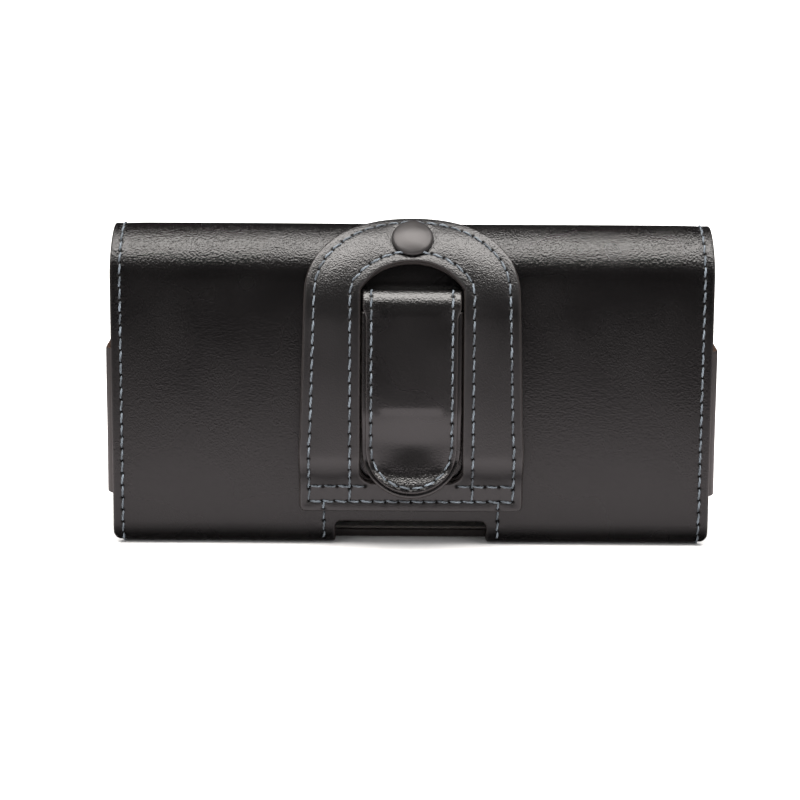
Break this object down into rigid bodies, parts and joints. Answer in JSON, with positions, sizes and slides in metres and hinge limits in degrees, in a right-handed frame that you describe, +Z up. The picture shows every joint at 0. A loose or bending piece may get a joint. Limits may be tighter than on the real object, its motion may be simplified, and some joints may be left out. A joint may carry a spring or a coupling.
{
  "type": "leather belt case for a compact camera",
  "caption": "Horizontal leather belt case with a fold-over flap, a snapped belt loop, a leather-covered spring clip and folded side gussets.",
  "frame": {"origin": "centre of the case's width and of its panels' depth, at the bottom of the case", "axes": "+Z up, -Y out of the belt side, +X to the right when the belt side is seen"},
  "size_m": [0.174, 0.0367, 0.0929],
  "materials": {
    "leather": "semi-gloss, fine grain",
    "inner_leather": "matt",
    "gusset_leather": "semi-gloss, painted edge",
    "lining": "suede nap",
    "board": "matt",
    "thread": "waxed",
    "spring_steel": "oiled",
    "cap_finish": "satin gunmetal",
    "hardware": "nickel",
    "magnet": "plated"
  },
  "bodies": {
    "case": {"shell_leather": "leather", "shell_lining": "lining", "back_board": "board", "front_board": "board", "base_board": "board", "pocket_keeper": "magnet", "gusset_left": "gusset_leather", "gusset_right": "gusset_leather", "shell_thread": "thread", "slot_thread": "thread", "loop_foot": "leather", "loop_foot_backing": "inner_leather", "loop_base_thread": "thread", "clip_base": "spring_steel", "clip_cover_back": "leather", "clip_rivet_lower": "hardware", "clip_rivet_upper": "hardware", "snap_stud": "hardware", "snap_back": "hardware"},
    "flap_top": {"flap_top_leather": "leather", "flap_top_board": "board", "flap_top_lining": "lining", "flap_top_thread": "thread"},
    "flap": {"flap_leather": "leather", "flap_board": "board", "flap_lining": "lining", "flap_magnet": "magnet", "flap_thread": "thread"},
    "belt_loop": {"loop_leather": "leather", "loop_backing": "inner_leather", "loop_edge_thread": "thread", "loop_window_thread": "thread", "snap_cap": "cap_finish", "snap_socket": "hardware"},
    "clip": {"clip_spring": "spring_steel", "clip_cover_outer": "leather", "clip_filler": "board", "clip_cover_inner": "inner_leather", "clip_thread": "thread"}
  },
  "joints": [
    {"name": "flap_lift", "type": "hinge", "parent": "case", "child": "flap_top", "pos_m": [0, 0.00074, 0.09047], "axis": [1, 0, 0], "range_deg": [0, 90]},
    {"name": "flap_fold", "type": "hinge", "parent": "flap_top", "child": "flap", "pos_m": [0, 0.01051, 0.08729], "axis": [1, 0, 0], "range_deg": [0, 90]},
    {"name": "loop_swing", "type": "hinge", "parent": "case", "child": "belt_loop", "pos_m": [0, -0.0148, 0.0186], "axis": [1, 0, 0], "range_deg": [0, 100]},
    {"name": "clip_flex", "type": "hinge", "parent": "case", "child": "clip", "pos_m": [0, -0.0162, 0.0747], "axis": [-1, 0, 0], "range_deg": [0, 12], "stiffness_Nm_per_rad": 0.6}
  ],
  "couplings": [
    {"joint": "flap_fold", "follows": "flap_lift", "ratio": 1}
  ]
}
